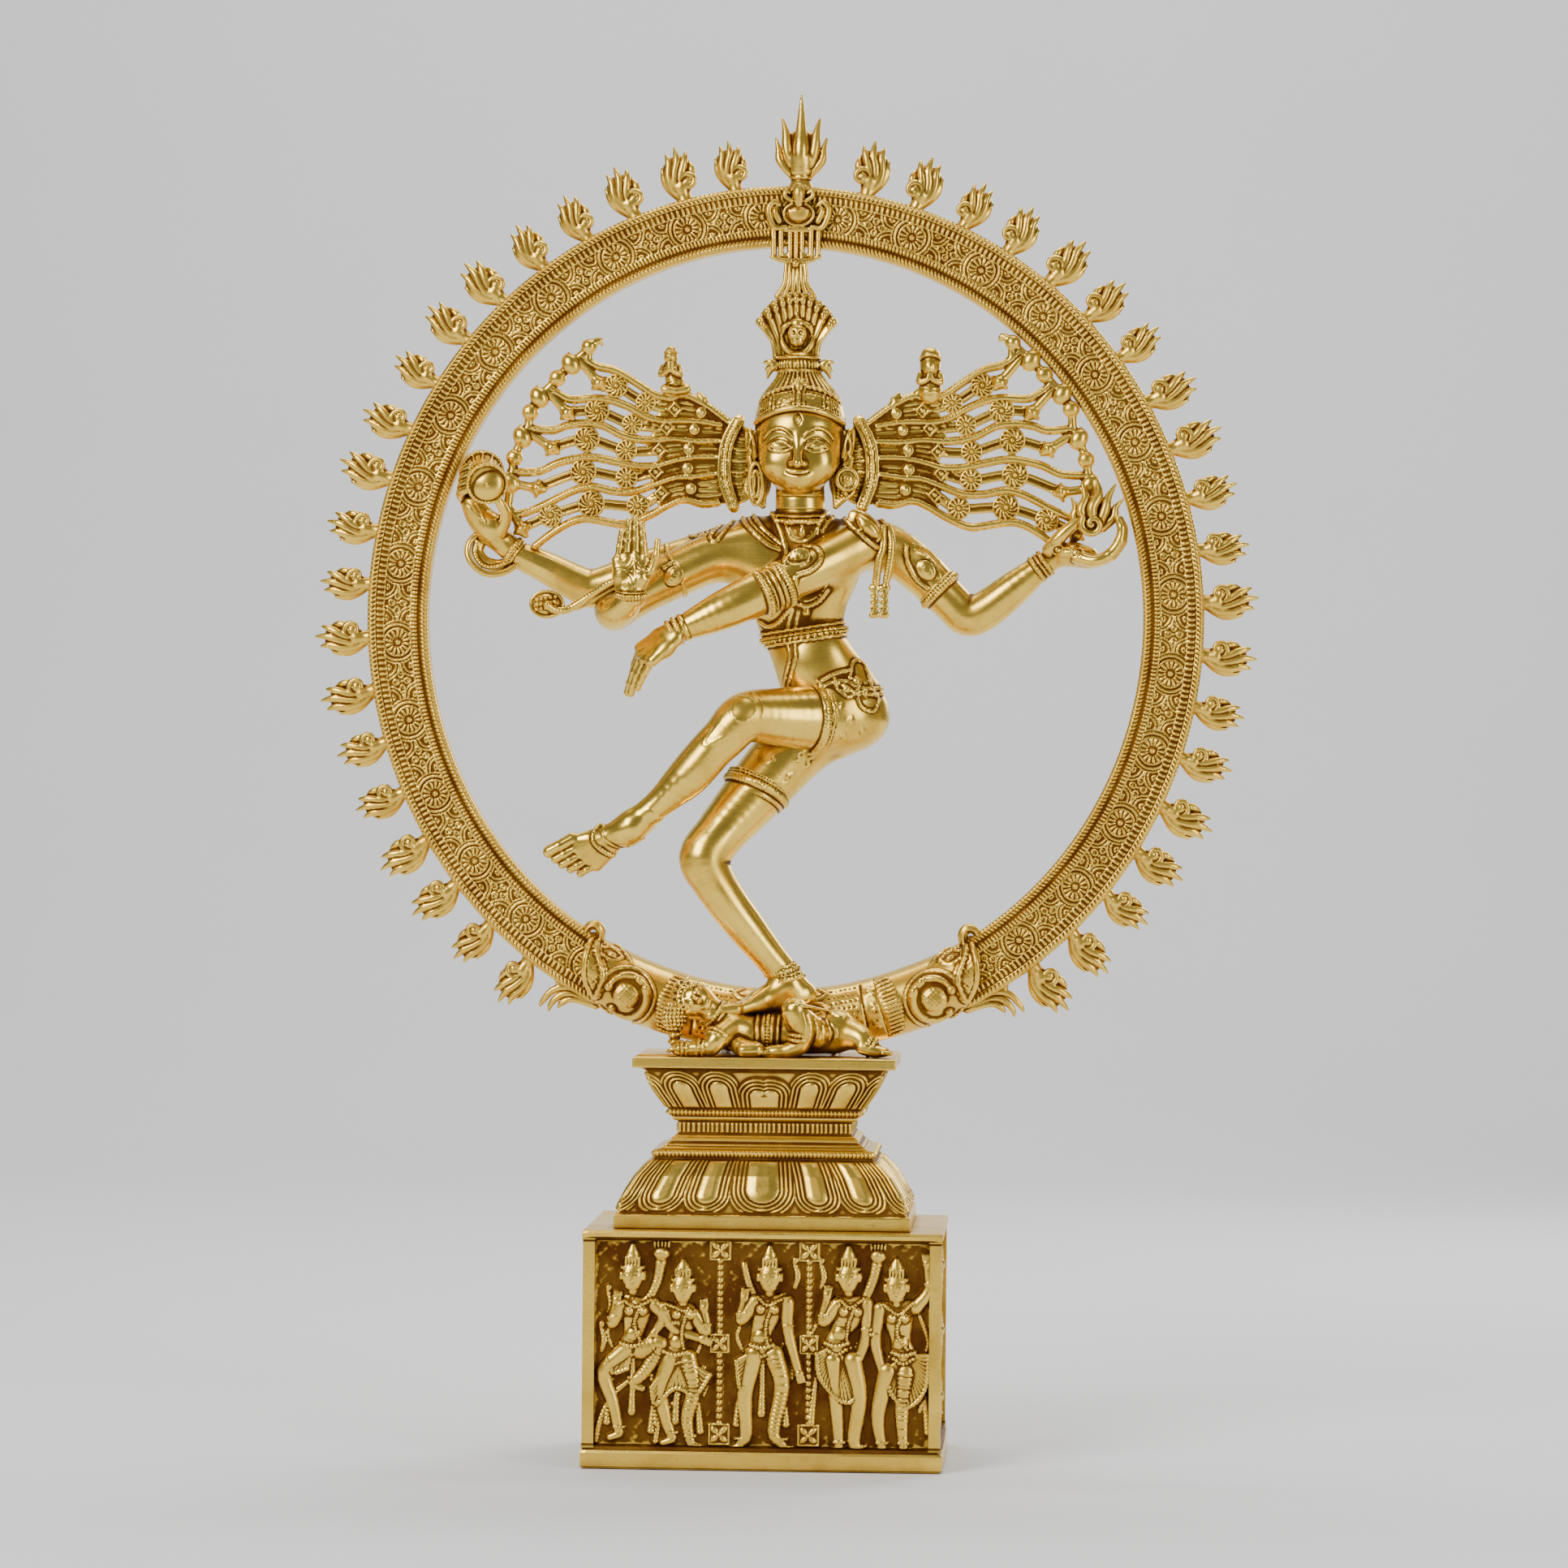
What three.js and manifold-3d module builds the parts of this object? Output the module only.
// Brass nataraja: a four-armed dancer in a ring of flames, on a lotus pedestal and a square base block.
// Millimetres, +Z up. The origin is on the ground under the middle of the ring, and the front faces -Y.
// Every casting is a separate closed solid. Neighbours meet with a joint gap of GAP.
import * as THREE from "three";
import { mergeVertices } from "three/addons/utils/BufferGeometryUtils.js";
import Module from "manifold-3d";

const wasm = await Module();
wasm.setup();

// ---- driving dimensions -------------------------------------------------------------------------

const GAP = 0.3;

const BLOCK = {
  x: -6, halfWidth: 108.5, halfDepth: 72, height: 144, plinth: 11, lip: 5.4,
  chamfer: 18, recess: 6, border: 7, wall: 7,
};
const PEDESTAL = { x: -7, base: BLOCK.height + GAP, top: 247.8, depthRatio: 0.68, wall: 6 };
const RING = { z: 516.6, innerX: 221.5, innerZ: 230, width: 37.5, front: 4, back: 15, end: 149 };
const TUBE = { radius: 19, y: 12, end: 165 };
const FLAME = { tall: 30, wide: 22, neck: 12, perSide: 20, first: 8.9, pitch: 7.05, axis: 1.8 };
const TOP_FLAME = { angle: 1.8, tall: 57, wide: 31 };
const HAIR = { axis: 8, front: 2.5, back: 7.5, strand: 6, rootX: 44, rootFront: 0.5, rootBack: 9.5 };
const BOLT = { radius: 3, head: 5.5, headTall: 4, x: 62, y: 36 };
const STUD = { radius: 3, nut: 5.5, nutTall: 4.8 };

const SIDES = 8; // sides of a round limb
const TURN = Math.PI / 180;

const BRASS = { color: 0xc8963c, roughness: 0.34, metalness: 1 };
const OLD_BRASS = { color: 0xa8752e, roughness: 0.42, metalness: 1 };
const STEEL = { color: 0x9a9a98, roughness: 0.45, metalness: 1 };

// ---- solids -------------------------------------------------------------------------------------

const point = (x, y, z) => new THREE.Vector3(x, y, z);

// A closed geometry as a solid that can be joined and cut.
function solid(geometry) {
  const bare = geometry.clone();
  bare.deleteAttribute("normal");
  bare.deleteAttribute("uv");
  const merged = mergeVertices(bare, 1e-3);
  const made = new wasm.Manifold(
    new wasm.Mesh({
      numProp: 3,
      vertProperties: merged.attributes.position.array,
      triVerts: new Uint32Array(merged.index.array),
    }),
  );
  return made;
}

function geometryOf(body) {
  const mesh = body.getMesh();
  const geometry = new THREE.BufferGeometry();
  geometry.setAttribute("position", new THREE.BufferAttribute(mesh.vertProperties, 3));
  geometry.setIndex(new THREE.BufferAttribute(mesh.triVerts, 1));
  return geometry;
}

const join = (...bodies) => bodies.reduce((all, body) => all.add(body));

const cut = (body, ...tools) => tools.reduce((rest, tool) => rest.subtract(tool), body);

// The biggest separate lump of a body, which drops slivers that a cut leaves behind.
function largest(body) {
  const lumps = body.decompose();
  return lumps.reduce((best, lump) => (lump.volume() > best.volume() ? lump : best));
}

function box(low, high) {
  const size = high.clone().sub(low);
  const middle = low.clone().add(high).multiplyScalar(0.5);
  return solid(new THREE.BoxGeometry(size.x, size.y, size.z).translate(middle.x, middle.y, middle.z));
}

// A turned shape along the line from a to b. The profile is [radius, distance along the line].
function turned(profile, a, b, sides = SIDES) {
  const points = profile.map(([radius, along]) => new THREE.Vector2(radius, along));
  const geometry = new THREE.LatheGeometry(points, sides);
  const along = b.clone().sub(a).normalize();
  const turn = new THREE.Quaternion().setFromUnitVectors(point(0, 1, 0), along);
  geometry.applyQuaternion(turn);
  geometry.translate(a.x, a.y, a.z);
  return solid(geometry);
}

// A round limb with domed ends: radius ra at a and rb at b, each grown by the given margin.
function limb(a, b, ra, rb, margin = 0) {
  const r0 = ra + margin;
  const r1 = rb + margin;
  const length = a.distanceTo(b);
  const lean = Math.asin(THREE.MathUtils.clamp((r0 - r1) / length, -0.9, 0.9));
  const profile = [[0, -r0]];
  for (const step of [1, 2]) {
    const angle = -Math.PI / 2 + ((Math.PI / 2 + lean) * step) / 2;
    profile.push([r0 * Math.cos(angle), r0 * Math.sin(angle)]);
  }
  for (const step of [0, 1]) {
    const angle = lean + ((Math.PI / 2 - lean) * step) / 2;
    profile.push([r1 * Math.cos(angle), length + r1 * Math.sin(angle)]);
  }
  profile.push([0, length + r1]);
  return turned(profile, a, b);
}

// A chain of limbs through [x, y, z, radius] stations.
function chain(stations, margin = 0) {
  const links = [];
  for (let i = 1; i < stations.length; i += 1) {
    const [ax, ay, az, ra] = stations[i - 1];
    const [bx, by, bz, rb] = stations[i];
    links.push(limb(point(ax, ay, az), point(bx, by, bz), ra, rb, margin));
  }
  return join(...links);
}

function ellipsoid(centre, radii, margin = 0) {
  const geometry = new THREE.SphereGeometry(1, 14, 8);
  geometry.scale(radii.x + margin, radii.y + margin, radii.z + margin);
  geometry.rotateX(Math.PI / 2);
  geometry.translate(centre.x, centre.y, centre.z);
  return solid(geometry);
}

function rod(a, b, radius, sides = 12) {
  const length = a.distanceTo(b);
  return turned([[0, 0], [radius, 0], [radius, length], [0, length]], a, b, sides);
}

// An outline in the X-Z plane, given depth from front to back along Y.
function slab(shape, front, back, curveSegments = 12) {
  const depth = back - front;
  const geometry = new THREE.ExtrudeGeometry(shape, { depth, bevelEnabled: false, curveSegments });
  geometry.rotateX(Math.PI / 2);
  geometry.translate(0, back, 0);
  return solid(geometry);
}

function outline(points) {
  return new THREE.Shape(points.map(([x, z]) => new THREE.Vector2(x, z)));
}

// A flat strand of even width along a smooth line of [x, z] points.
function strand(points, width, front, back) {
  const line = new THREE.SplineCurve(points.map(([x, z]) => new THREE.Vector2(x, z)));
  const steps = 2 * (points.length - 1);
  const left = [];
  const right = [];
  for (let i = 0; i <= steps; i += 1) {
    const at = line.getPoint(i / steps);
    const along = line.getTangent(i / steps);
    left.push([at.x - (along.y * width) / 2, at.y + (along.x * width) / 2]);
    right.unshift([at.x + (along.y * width) / 2, at.y - (along.x * width) / 2]);
  }
  return slab(outline([...left, ...right]), front, back);
}

const disc = (x, z, radius, front, back) => rod(point(x, front, z), point(x, back, z), radius, 8);

// The point on the ring at an angle from its top, a distance out from its inner edge.
function onRing(angle, out) {
  const turn = angle * TURN;
  const x = (RING.innerX + out) * Math.sin(turn);
  const z = RING.z + (RING.innerZ + out) * Math.cos(turn);
  return [x, z];
}

// ---- base block and pedestal --------------------------------------------------------------------

// A rectangle seen from above with its two front corners cut off, from one height to another.
function blockSlice(grow, bottom, top) {
  const wide = BLOCK.halfWidth + grow;
  const deep = BLOCK.halfDepth + grow;
  const plan = outline([
    [-wide, deep],
    [-wide, BLOCK.chamfer - deep],
    [BLOCK.chamfer - wide, -deep],
    [wide - BLOCK.chamfer, -deep],
    [wide, BLOCK.chamfer - deep],
    [wide, deep],
  ]);
  const geometry = new THREE.ExtrudeGeometry(plan, { depth: top - bottom, bevelEnabled: false });
  geometry.translate(BLOCK.x, 0, bottom);
  return solid(geometry);
}

function baseBlock() {
  const fieldLow = BLOCK.plinth + BLOCK.border;
  const fieldHigh = BLOCK.height - BLOCK.lip - BLOCK.border;
  const frontHalf = BLOCK.halfWidth - BLOCK.chamfer - BLOCK.border;
  const sideHalf = BLOCK.halfDepth - BLOCK.chamfer - BLOCK.border;
  const inner = BLOCK.recess + BLOCK.wall;
  const body = join(
    blockSlice(1, 0, BLOCK.plinth),
    blockSlice(-1, BLOCK.plinth, BLOCK.height - BLOCK.lip),
    blockSlice(0, BLOCK.height - BLOCK.lip, BLOCK.height),
  );
  const hollow = blockSlice(-inner, -1, BLOCK.height - BLOCK.wall);
  const fields = [-1, 1].flatMap((side) => {
    const y = side * BLOCK.halfDepth;
    const x = BLOCK.x + side * BLOCK.halfWidth;
    return [
      box(
        point(BLOCK.x - frontHalf, Math.min(y, y - side * BLOCK.recess) - 1, fieldLow),
        point(BLOCK.x + frontHalf, Math.max(y, y - side * BLOCK.recess) + 1, fieldHigh),
      ),
      box(
        point(Math.min(x, x - side * BLOCK.recess) - 1, -sideHalf, fieldLow),
        point(Math.max(x, x - side * BLOCK.recess) + 1, sideHalf + BLOCK.chamfer, fieldHigh),
      ),
    ];
  });
  return cut(body, hollow, ...fields, ...boltPlaces().map(([x, y]) => boltHole(x, y)));
}

const boltPlaces = () =>
  [-1, 1].flatMap((right) => [-1, 1].map((rear) => [PEDESTAL.x + right * BOLT.x, rear * BOLT.y]));

const boltHole = (x, y) =>
  rod(point(x, y, BLOCK.height - 20), point(x, y, PEDESTAL.base + 20), BOLT.radius + GAP, 8);

// A rectangular turned shape. The profile is [half width, height] and it closes on itself.
function squareTurned(profile) {
  const points = profile.map(([half, z]) => new THREE.Vector2(half * Math.SQRT2, z));
  points.push(points[0].clone());
  const geometry = new THREE.LatheGeometry(points, 4);
  geometry.rotateX(Math.PI / 2);
  geometry.rotateZ(Math.PI / 4);
  geometry.scale(1, PEDESTAL.depthRatio, 1);
  geometry.translate(PEDESTAL.x, 0, 0);
  return solid(geometry);
}

function lotusPedestal() {
  const shell = squareTurned([
    [52, PEDESTAL.base], [90, PEDESTAL.base], [90, 152.5], [88, 152.5], [83, 166.6], [74, 181.4],
    [66.5, 187], [66.5, 191], [55.5, 199], [53, 201], [53, 208.5], [58, 213], [72, 239],
    [80, 241.4], [80, PEDESTAL.top], [4, PEDESTAL.top], [4, PEDESTAL.top - PEDESTAL.wall],
    [64, PEDESTAL.top - PEDESTAL.wall - 4], [50, 213], [46, 208], [46, 199], [58, 190], [74, 168],
    [80, 153], [52, 153],
  ]);
  const topPlate = box(
    point(PEDESTAL.x - 6, -6, PEDESTAL.top - PEDESTAL.wall),
    point(PEDESTAL.x + 6, 6, PEDESTAL.top),
  );
  const studs = studPlaces().map(([x, y]) =>
    rod(point(x, y, PEDESTAL.top - 30), point(x, y, PEDESTAL.top + 5), STUD.radius + GAP, 8),
  );
  return cut(join(shell, topPlate), ...boltPlaces().map(([x, y]) => boltHole(x, y)), ...studs);
}

const hexNut = (x, y, low, high, radius) =>
  cut(
    rod(point(x, y, low), point(x, y, high), radius, 6),
    rod(point(x, y, low - 1), point(x, y, high + 1), STUD.radius + GAP, 8),
  );

function pedestalBolt(x, y) {
  const under = BLOCK.height - BLOCK.wall - GAP;
  return join(
    rod(point(x, y, under - BOLT.headTall), point(x, y, under), BOLT.head, 6),
    rod(point(x, y, under - 1), point(x, y, 163), BOLT.radius, 8),
  );
}

// ---- ring ---------------------------------------------------------------------------------------

// One flame: a narrow neck, a swelling body and a tip that leans away from the top of the ring.
function flameShape(angle, lean, tall, wide, neck) {
  const up = angle * TURN;
  const [baseX, baseZ] = onRing(angle, RING.width - 2);
  const profile = [
    [-neck, 0], [-wide, 0.3 * tall], [-0.8 * wide, 0.62 * tall], [0.25 * wide, tall],
    [0.8 * wide, 0.78 * tall], [wide, 0.36 * tall], [neck, 0],
  ];
  const points = profile.map(([across, high]) => {
    const side = (across * lean) / 2;
    const x = baseX + side * Math.cos(up) + high * Math.sin(up);
    const z = baseZ - side * Math.sin(up) + high * Math.cos(up);
    return [x, z];
  });
  return outline(lean > 0 ? points.reverse() : points);
}

function archBand() {
  const a0 = (90 - RING.end) * TURN;
  const a1 = (90 + RING.end) * TURN;
  const shape = new THREE.Shape();
  shape.absellipse(0, RING.z, RING.innerX + RING.width, RING.innerZ + RING.width, a0, a1, false);
  shape.absellipse(0, RING.z, RING.innerX, RING.innerZ, a1, a0, true);
  const band = slab(shape, RING.front, RING.back, 26);
  const flames = [];
  for (const side of [-1, 1]) {
    for (let i = 0; i < FLAME.perSide; i += 1) {
      const angle = FLAME.axis + side * (FLAME.first + FLAME.pitch * i);
      const shapeOfFlame = flameShape(angle, side, FLAME.tall + 2, FLAME.wide, FLAME.neck);
      flames.push(slab(shapeOfFlame, RING.front + 1, RING.back - 2));
    }
  }
  return join(band, ...flames);
}

function topFlame() {
  const [x, z] = onRing(TOP_FLAME.angle, RING.width + GAP);
  const half = TOP_FLAME.wide / 2;
  const tall = TOP_FLAME.tall;
  const shape = outline([
    [x - 6, z], [x + 6, z], [x + 9, z + 0.15 * tall], [x + half, z + 0.4 * tall],
    [x + 0.6 * half, z + 0.75 * tall],
    [x, z + tall], [x - 0.6 * half, z + 0.75 * tall], [x - half, z + 0.4 * tall], [x - 9, z + 0.15 * tall],
  ]);
  return slab(shape, RING.front + 0.5, RING.back - 1.5);
}

function archTube(margin = 0) {
  const stations = [];
  for (let i = 0; i <= 8; i += 1) {
    const [x, z] = onRing(TUBE.end + ((360 - 2 * TUBE.end) * i) / 8, RING.width / 2);
    stations.push(point(x, TUBE.y, z));
  }
  const path = new THREE.CatmullRomCurve3(stations);
  const section = new THREE.Shape().absarc(0, 0, TUBE.radius + margin, 0, 2 * Math.PI, false);
  const geometry = new THREE.ExtrudeGeometry(section, {
    steps: 8, curveSegments: 7, bevelEnabled: false, extrudePath: path,
  });
  return solid(geometry);
}

// The sea-beast at each foot of the ring: a jaw on the tube, a brow and a curled snout.
function makara(side) {
  const place = (angle, out) => {
    const [x, z] = onRing(angle, out);
    return [side * x, z];
  };
  const points = [
    place(149.2, 38), place(149.2, 0), place(153, -9), place(157, -14), place(161, -12), place(163.5, -3),
    place(164.6, 4), place(164.6, 35), place(161, 47), place(156, 52), place(152, 47),
  ];
  const shape = outline(side > 0 ? points : points.reverse());
  return slab(shape, RING.front - 6, RING.back + 6);
}

function archMask() {
  const [x, z] = onRing(TOP_FLAME.angle, RING.width / 2);
  const shape = outline([
    [x - 14, z - 2], [x - 8, z - 9], [x, z - 12], [x + 8, z - 9], [x + 14, z - 2], [x + 12, z + 8],
    [x + 5, z + 14], [x - 5, z + 14], [x - 12, z + 8],
  ]);
  return slab(shape, RING.front - 6, RING.front - GAP);
}

function crownLink() {
  const low = 736;
  const high = RING.z + RING.innerZ + 6;
  const middle = 5.6;
  const plate = box(point(middle - 20, -3.5, low), point(middle + 20, RING.front - GAP, high));
  const slots = [-1, 1].map((side) =>
    box(
      point(middle + Math.min(side * 7, side * 14), -5, low + 4),
      point(middle + Math.max(side * 7, side * 14), RING.front + 1, high - 4),
    ),
  );
  const stem = box(point(middle - 6, -3.5, 719.6), point(middle + 6, RING.front - GAP, low + 1));
  return cut(join(plate, stem), ...slots);
}

// ---- figure -------------------------------------------------------------------------------------

// Each form is a list of chains of [x, y, z, radius] stations. Left and right are the viewer's.
const FORMS = {
  torso: [
    [[-21, -2, 561, 15], [41, -2, 566, 15]],
    [[-18, -2, 556, 16], [1, -2, 512, 15], [12, 0, 478, 20], [34, 2, 456, 20]],
    [[40, -2, 558, 16], [21, -2, 514, 15], [34, 0, 484, 20], [43, 0, 460, 21]],
    [[1, -3, 512, 14], [21, -3, 514, 14]],
  ],
  neck: [[[10, -2, 574, 14], [10, -3, 602, 13.5]]],
  raisedLeg: [
    [[32, -4, 455, 21], [0, -28, 455, 18.5], [-25, -41, 452, 15], [-56, -40, 418, 13], [-86, -37, 390, 8.8]],
    [[-86, -37, 388, 8.5], [-108, -39, 376, 9], [-133, -42, 366, 7]],
  ],
  standingLeg: [
    [[20, 0, 450, 22], [-12, -10, 415, 19.5], [-45, -26, 369, 16], [-32, -24, 342, 13], [2, -13, 299, 10]],
    [[14, -12, 290, 8.5], [-8, -14, 286, 8], [-34, -16, 281, 6.5]],
  ],
  blessingArm: [
    [[-26, -6, 560, 14], [-104, -18, 522, 11.5], [-90, -42, 529, 8]],
    [[-89, -46, 538, 8], [-88, -47, 554, 8], [-90, -47, 573, 4.5]],
    [[-84, -46, 546, 5], [-74, -47, 558, 3.5]],
  ],
  crossingArm: [
    [[42, -9, 560, 14], [-6, -36, 534, 12.5], [-62, -44, 508, 7.5]],
    [[-62, -44, 508, 7], [-82, -45, 495, 6.5], [-96, -45, 460, 3.5]],
  ],
  drumArm: [
    [[-26, 8, 566, 13], [-118, 14, 537, 11.5], [-170, 8, 557, 8]],
    [[-170, 8, 557, 8], [-186, 2, 574, 8], [-187, -6, 586, 5]],
  ],
  flameArm: [
    [[48, 6, 566, 14], [112, 8, 522, 12.5], [156, 2, 548, 7.5]],
    [[156, 2, 548, 7.5], [182, -1, 558, 7], [204, -2, 573, 3.5]],
  ],
  dwarf: [
    [[-46, -25, 287, 10], [-30, -25, 268, 13], [12, -24, 263, 12.5], [40, -22, 260, 9.5], [56, -20, 257, 8]],
    [[12, -26, 264, 11], [16, -34, 278, 7.5], [4, -36, 256, 6.5]],
    [[-30, -28, 264, 9], [-52, -36, 256, 6.5], [-22, -40, 255, 6]],
  ],
};

const form = (name, margin = 0) => join(...FORMS[name].map((stations) => chain(stations, margin)));

const HEAD = { centre: point(9, -4, 621), radii: point(26, 27, 30) };
const CAP = { centre: point(9, -2, 646), radii: point(29, 29, 24) };

const headForm = (margin = 0) => join(ellipsoid(HEAD.centre, HEAD.radii, margin), form("neck", margin));

const capForm = (margin = 0) =>
  join(
    ellipsoid(CAP.centre, CAP.radii, margin),
    chain([[8, -2, 656, 15], [8, -2, 667, 13]], margin),
    box(point(-6 - margin, -10 - margin, 668), point(22 + margin, 8 + margin, 682 + margin)),
  );

const cropBelow = (body, z) => cut(body, box(point(-80, -80, z - 80), point(100, 80, z)));

function headdress() {
  return largest(cut(cropBelow(capForm(), 641), headForm(GAP)));
}

function crownFan() {
  const shape = outline([
    [-5, 682.3], [21, 682.3], [28, 692], [30, 702], [25, 712], [16, 718], [6, 719.3], [-4, 718], [-14, 712],
    [-19, 702], [-16, 692],
  ]);
  return slab(shape, -4.5, 2.5);
}

const DRUM = { front: point(-182, -25, 597), back: point(-188, 6, 608) };

const drumForm = (margin = 0) =>
  turned(
    [
      [0, -margin], [13 + margin, -margin], [13.5 + margin, 5], [9 + margin, 16], [13.5 + margin, 27],
      [13 + margin, 33 + margin], [0, 33 + margin],
    ],
    DRUM.front,
    DRUM.back,
    14,
  );

const handFlameForm = (margin = 0) =>
  join(
    chain([[193, -3, 573, 6], [193, -3, 586, 8], [188, -3, 600, 3]], margin),
    chain([[199, -3, 578, 4], [204, -3, 592, 2.5]], margin),
  );

const sashForm = () =>
  slab(outline([[53, 516], [63, 515], [67, 540], [67, 573], [57, 574], [54, 545]]), -17, -9);

// ---- hair ---------------------------------------------------------------------------------------

// Half of the flying hair, as [distance out from the axis, height] points of each lock.
const LOCKS = [
  [[44, 637], [71, 654], [94, 656], [113, 669], [131, 676], [130, 683]],
  [[44, 636], [71, 638], [95, 641], [116, 651], [141, 652], [151, 656]],
  [[46, 626], [76, 627], [100, 627], [121, 635], [144, 635], [163, 633]],
  [[46, 616], [76, 614], [100, 610], [127, 616], [149, 612], [173, 606]],
  [[46, 606], [76, 603], [101, 595], [127, 597], [146, 592], [178, 582]],
  [[44, 588], [70, 590], [92, 580], [118, 576], [140, 576], [160, 563]],
  [[130, 683], [150, 665], [161, 653], [168, 636], [176, 615], [179, 592], [165, 571]],
];
const ROSETTES = [[113, 660], [125, 645], [131, 627], [133, 607], [128, 587], [153, 580]];

// The solid combed part beside the head, thicker where the dowel goes in.
const ROOT = [[22, 634], [36, 646], [47, 636], [50, 612], [46, 587], [34, 588], [24, 604]];

function hairFan(side, ...neighbours) {
  const place = ([out, z]) => [HAIR.axis + side * out, z];
  const locks = LOCKS.map((points) => strand(points.map(place), HAIR.strand, HAIR.front, HAIR.back));
  const rosettes = ROSETTES.map((spot) => disc(...place(spot), 7.5, HAIR.front, HAIR.back));
  const corners = ROOT.map(place);
  const root = slab(outline(side > 0 ? corners.reverse() : corners), HAIR.rootFront, HAIR.rootBack);
  const body = cut(join(root, ...locks, ...rosettes), ...neighbours);
  return largest(cut(body, dowel(side, GAP)));
}

// A dowel that pins the root of the flying hair to the side of the head.
const dowel = (side, margin = 0) =>
  rod(
    point(HEAD.centre.x + side * (18 - margin), 5, 616),
    point(HEAD.centre.x + side * (34 + margin), 5, 616),
    1.6 + margin,
    8,
  );

// The river goddess kneels on the left lock and a hooded serpent sits on the right one.
function fanFigure(side, out, low) {
  const x = HAIR.axis + side * out;
  return join(
    chain([[x, 5, low + 6, 5.5], [x, 5, low + 15, 4.5]]),
    chain([[x, 5, low + 15, 3], [x, 4, low + 23, 4.2]]),
  );
}

// ---- assembly -----------------------------------------------------------------------------------

const STANDING_STUD = { x: -8, y: -24 };
const ARCH_STUD = { x: 34, y: TUBE.y };
const NUT_HIGH = PEDESTAL.top - PEDESTAL.wall - 5;
const NUT_LOW = NUT_HIGH - STUD.nutTall;

const studPlaces = () => [
  [STANDING_STUD.x, STANDING_STUD.y],
  [-ARCH_STUD.x, ARCH_STUD.y],
  [ARCH_STUD.x, ARCH_STUD.y],
];

const stud = ([x, y], top, margin = 0) =>
  rod(point(x, y, 226 - margin), point(x, y, top + margin), STUD.radius + margin, 8);

const statue = new THREE.Group();

function add(name, body, finish = BRASS) {
  const mesh = new THREE.Mesh(geometryOf(body), new THREE.MeshStandardMaterial(finish));
  mesh.name = name;
  statue.add(mesh);
}

const torso = form("torso");
const raisedLeg = largest(cut(form("raisedLeg"), form("torso", GAP)));
const standingLeg = largest(cut(form("standingLeg"), form("torso", GAP), form("raisedLeg", GAP)));
const crossingArm = largest(cut(form("crossingArm"), form("torso", GAP), form("neck", GAP)));
const blessingArm = largest(cut(form("blessingArm"), form("torso", GAP), form("crossingArm", GAP)));
const drumArm = largest(cut(form("drumArm"), form("torso", GAP), form("blessingArm", GAP)));
const flameArm = largest(cut(form("flameArm"), form("torso", GAP), form("crossingArm", GAP)));
const head = largest(cut(headForm(), form("torso", GAP), dowel(-1, GAP), dowel(1, GAP)));
const bodyParts = ["torso", "crossingArm", "blessingArm", "drumArm", "flameArm"];
const bodyTools = [headForm(GAP), capForm(GAP), ...bodyParts.map((name) => form(name, GAP))];

add("base_block", baseBlock());
add("lotus_pedestal", lotusPedestal());
boltPlaces().forEach(([x, y], i) => {
  add(`pedestal_bolt_${i + 1}`, pedestalBolt(x, y), STEEL);
  add(`pedestal_nut_${i + 1}`, hexNut(x, y, 153 + GAP, 158, STUD.nut), STEEL);
});

add("arch_band", archBand(), OLD_BRASS);
add("top_flame", topFlame(), OLD_BRASS);
add("arch_mask", archMask(), OLD_BRASS);
add("makara_left", cut(makara(-1), archTube(GAP)), OLD_BRASS);
add("makara_right", cut(makara(1), archTube(GAP)), OLD_BRASS);
const archStuds = [-1, 1].map((side) => [side * ARCH_STUD.x, ARCH_STUD.y]);
const archStudTop = 262;
add("arch_tube", cut(archTube(), ...archStuds.map((place) => stud(place, archStudTop, GAP))), OLD_BRASS);
["left", "right"].forEach((name, i) => {
  add(`arch_stud_${name}`, stud(archStuds[i], archStudTop), STEEL);
  add(`arch_nut_${name}`, hexNut(...archStuds[i], NUT_LOW, NUT_HIGH, STUD.nut), STEEL);
});
add("crown_link", crownLink());

add("torso", torso);
add("head", head);
add("headdress", headdress());
add("crown_fan", crownFan());
add("raised_leg", raisedLeg);
add("standing_leg", standingLeg);
add("blessing_arm", blessingArm);
add("crossing_arm", crossingArm);
add("drum_arm", drumArm);
add("flame_arm", flameArm);
add("hand_drum", largest(cut(drumForm(), form("drumArm", GAP))));
add("hand_flame", largest(cut(handFlameForm(), form("flameArm", GAP))));
add("sash", largest(cut(sashForm(), ...bodyTools)));

const fanTools = [...bodyTools, drumForm(GAP), handFlameForm(GAP)];
["left", "right"].forEach((name, i) => {
  const side = i === 0 ? -1 : 1;
  add(`hair_fan_${name}`, hairFan(side, ...fanTools), OLD_BRASS);
  add(`hair_dowel_${name}`, dowel(side), STEEL);
});
add("river_goddess", largest(cut(fanFigure(-1, 78, 656), hairFan(-1))), OLD_BRASS);
add("serpent_figure", largest(cut(fanFigure(1, 81, 657), hairFan(1))), OLD_BRASS);

const dwarfTools = [form("standingLeg", GAP), stud([STANDING_STUD.x, STANDING_STUD.y], 262, GAP)];
const floorSlice = box(point(-200, -200, 0), point(200, 200, PEDESTAL.top + GAP));
add("dwarf", largest(cut(form("dwarf"), floorSlice, archTube(GAP), ...dwarfTools)));
add("mace", cut(chain([[-63, -34, 254, 3.5], [-63, -34, 274, 8]]), floorSlice, form("dwarf", GAP)));
add("dwarf_stud", stud([STANDING_STUD.x, STANDING_STUD.y], 262), STEEL);
add("dwarf_nut", hexNut(STANDING_STUD.x, STANDING_STUD.y, NUT_LOW, NUT_HIGH, STUD.nut), STEEL);

export default statue;
